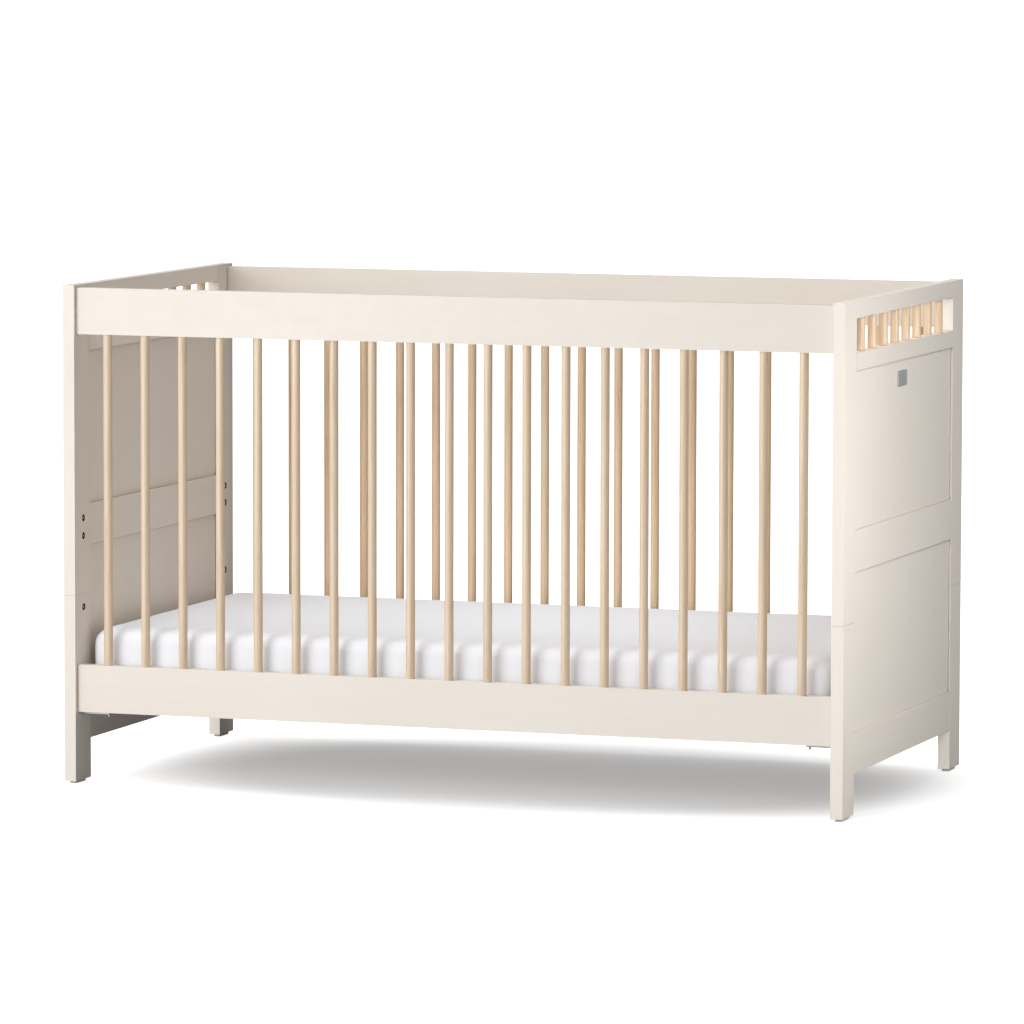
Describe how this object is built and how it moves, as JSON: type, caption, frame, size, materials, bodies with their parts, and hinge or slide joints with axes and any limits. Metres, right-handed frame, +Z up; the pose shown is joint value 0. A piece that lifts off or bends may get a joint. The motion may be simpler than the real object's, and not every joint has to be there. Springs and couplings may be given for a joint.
{
  "type": "baby crib",
  "caption": "Cot bed with painted framed end panels, a row of short dowels under each end's top rail, barred sides with round wooden spindles, a slatted base and a mattress.",
  "frame": {"origin": "on the floor, under the centre of the bed", "axes": "+X along the bed towards the end with the badge, +Y across the bed towards its back side, +Z up"},
  "size_m": [1.45, 0.765, 0.895],
  "materials": {
    "painted_wood": "satin",
    "beech_bars": "satin",
    "base_pine": "matte",
    "bracket_steel": "satin",
    "plastic_glide": "matte",
    "mattress_cover": "matte",
    "badge_metal": "satin"
  },
  "bodies": {
    "frame": {"left_front_stile": "painted_wood", "left_front_leg": "painted_wood", "left_front_glide": "plastic_glide", "left_back_stile": "painted_wood", "left_back_leg": "painted_wood", "left_back_glide": "plastic_glide", "left_end_top_rail": "painted_wood", "left_end_gallery_rail": "painted_wood", "left_end_middle_rail": "painted_wood", "left_end_bottom_rail": "painted_wood", "left_end_upper_panel": "painted_wood", "left_end_lower_panel": "painted_wood", "right_front_stile": "painted_wood", "right_front_leg": "painted_wood", "right_front_glide": "plastic_glide", "right_back_stile": "painted_wood", "right_back_leg": "painted_wood", "right_back_glide": "plastic_glide", "right_end_top_rail": "painted_wood", "right_end_gallery_rail": "painted_wood", "right_end_middle_rail": "painted_wood", "right_end_bottom_rail": "painted_wood", "right_end_upper_panel": "painted_wood", "right_end_lower_panel": "painted_wood", "front_top_rail": "painted_wood", "front_bottom_rail": "painted_wood", "front_spindle_01": "beech_bars", "front_spindle_02": "beech_bars", "front_spindle_03": "beech_bars", "front_spindle_04": "beech_bars", "front_spindle_05": "beech_bars", "front_spindle_06": "beech_bars", "front_spindle_07": "beech_bars", "front_spindle_08": "beech_bars", "front_spindle_09": "beech_bars", "front_spindle_10": "beech_bars", "front_spindle_11": "beech_bars", "front_spindle_12": "beech_bars", "front_spindle_13": "beech_bars", "front_spindle_14": "beech_bars", "front_spindle_15": "beech_bars", "front_spindle_16": "beech_bars", "front_spindle_17": "beech_bars", "front_spindle_18": "beech_bars", "front_spindle_19": "beech_bars", "back_top_rail": "painted_wood", "back_bottom_rail_with_spindles": "painted_wood", "badge": "badge_metal"},
    "base": {"base_front_rail": "base_pine", "base_back_rail": "base_pine", "base_left_rail": "base_pine", "base_right_rail": "base_pine", "base_slats": "base_pine", "base_bracket_left_front": "bracket_steel", "base_bracket_left_back": "bracket_steel", "base_bracket_right_front": "bracket_steel", "base_bracket_right_back": "bracket_steel"},
    "mattress": {"mattress": "mattress_cover"}
  },
  "joints": [
    {"name": "base_height", "type": "slide", "parent": "frame", "child": "base", "axis": [0, 0, 1], "range_m": [0, 0.32]},
    {"name": "mattress_lift", "type": "slide", "parent": "base", "child": "mattress", "axis": [0, 0, 1], "range_m": [0, 0.75]}
  ]
}
